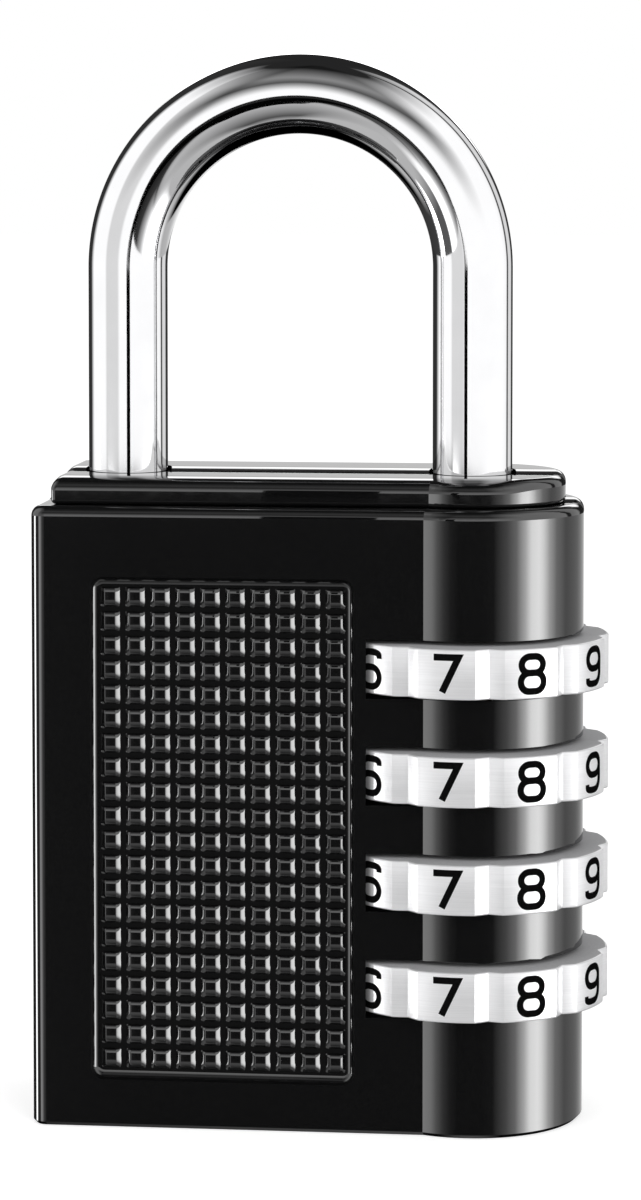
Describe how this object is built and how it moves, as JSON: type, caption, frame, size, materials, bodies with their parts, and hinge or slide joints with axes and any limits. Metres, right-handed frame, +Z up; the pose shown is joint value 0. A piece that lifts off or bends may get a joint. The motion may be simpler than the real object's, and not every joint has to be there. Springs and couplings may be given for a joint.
{
  "type": "combination padlock",
  "caption": "Black combination padlock: flat-sided case ending in a round barrel ringed by silver number dials, studded grip panels, top cap and a chrome U-shaped shackle.",
  "frame": {"origin": "where the spindle axis of the dials and the long shackle leg meets the base face", "axes": "+X from the toe leg towards the dials, -Y the front face, +Z up along the spindle"},
  "size_m": [0.0451, 0.0218, 0.0845],
  "materials": {
    "black_enamel": "gloss black enamel on die-cast zinc",
    "polished_chrome": "mirror chrome plating on hardened steel",
    "satin_chrome": "satin chrome plating on die-cast zinc",
    "brass": "turned brass, bare",
    "spring_steel": "bright spring steel"
  },
  "bodies": {
    "case": {"case": "black_enamel", "top_cap": "black_enamel", "cap_pins": "spring_steel", "shackle_bush": "brass", "stack_washer": "spring_steel", "reset_spring": "spring_steel", "detent_leaf_1": "spring_steel", "detent_leaf_2": "spring_steel", "detent_leaf_3": "spring_steel", "detent_leaf_4": "spring_steel"},
    "shackle": {"shackle": "polished_chrome", "locking_pins": "spring_steel"},
    "dial_1": {"dial_1": "satin_chrome", "cam_sleeve_1": "brass"},
    "dial_2": {"dial_2": "satin_chrome", "cam_sleeve_2": "brass"},
    "dial_3": {"dial_3": "satin_chrome", "cam_sleeve_3": "brass"},
    "dial_4": {"dial_4": "satin_chrome", "cam_sleeve_4": "brass"}
  },
  "joints": [
    {"name": "shackle_lift", "type": "slide", "parent": "case", "child": "shackle", "axis": [0, 0, 1], "range_m": [0, 0.00835]},
    {"name": "dial_1_turn", "type": "hinge", "parent": "case", "child": "dial_1", "pos_m": [0, 0, 0.03655], "axis": [0, 0, 1], "continuous": true, "deforming": ["detent_leaf_1"]},
    {"name": "dial_2_turn", "type": "hinge", "parent": "case", "child": "dial_2", "pos_m": [0, 0, 0.0282], "axis": [0, 0, 1], "continuous": true, "deforming": ["detent_leaf_2"]},
    {"name": "dial_3_turn", "type": "hinge", "parent": "case", "child": "dial_3", "pos_m": [0, 0, 0.01985], "axis": [0, 0, 1], "continuous": true, "deforming": ["detent_leaf_3"]},
    {"name": "dial_4_turn", "type": "hinge", "parent": "case", "child": "dial_4", "pos_m": [0, 0, 0.0115], "axis": [0, 0, 1], "continuous": true, "deforming": ["detent_leaf_4"]}
  ]
}
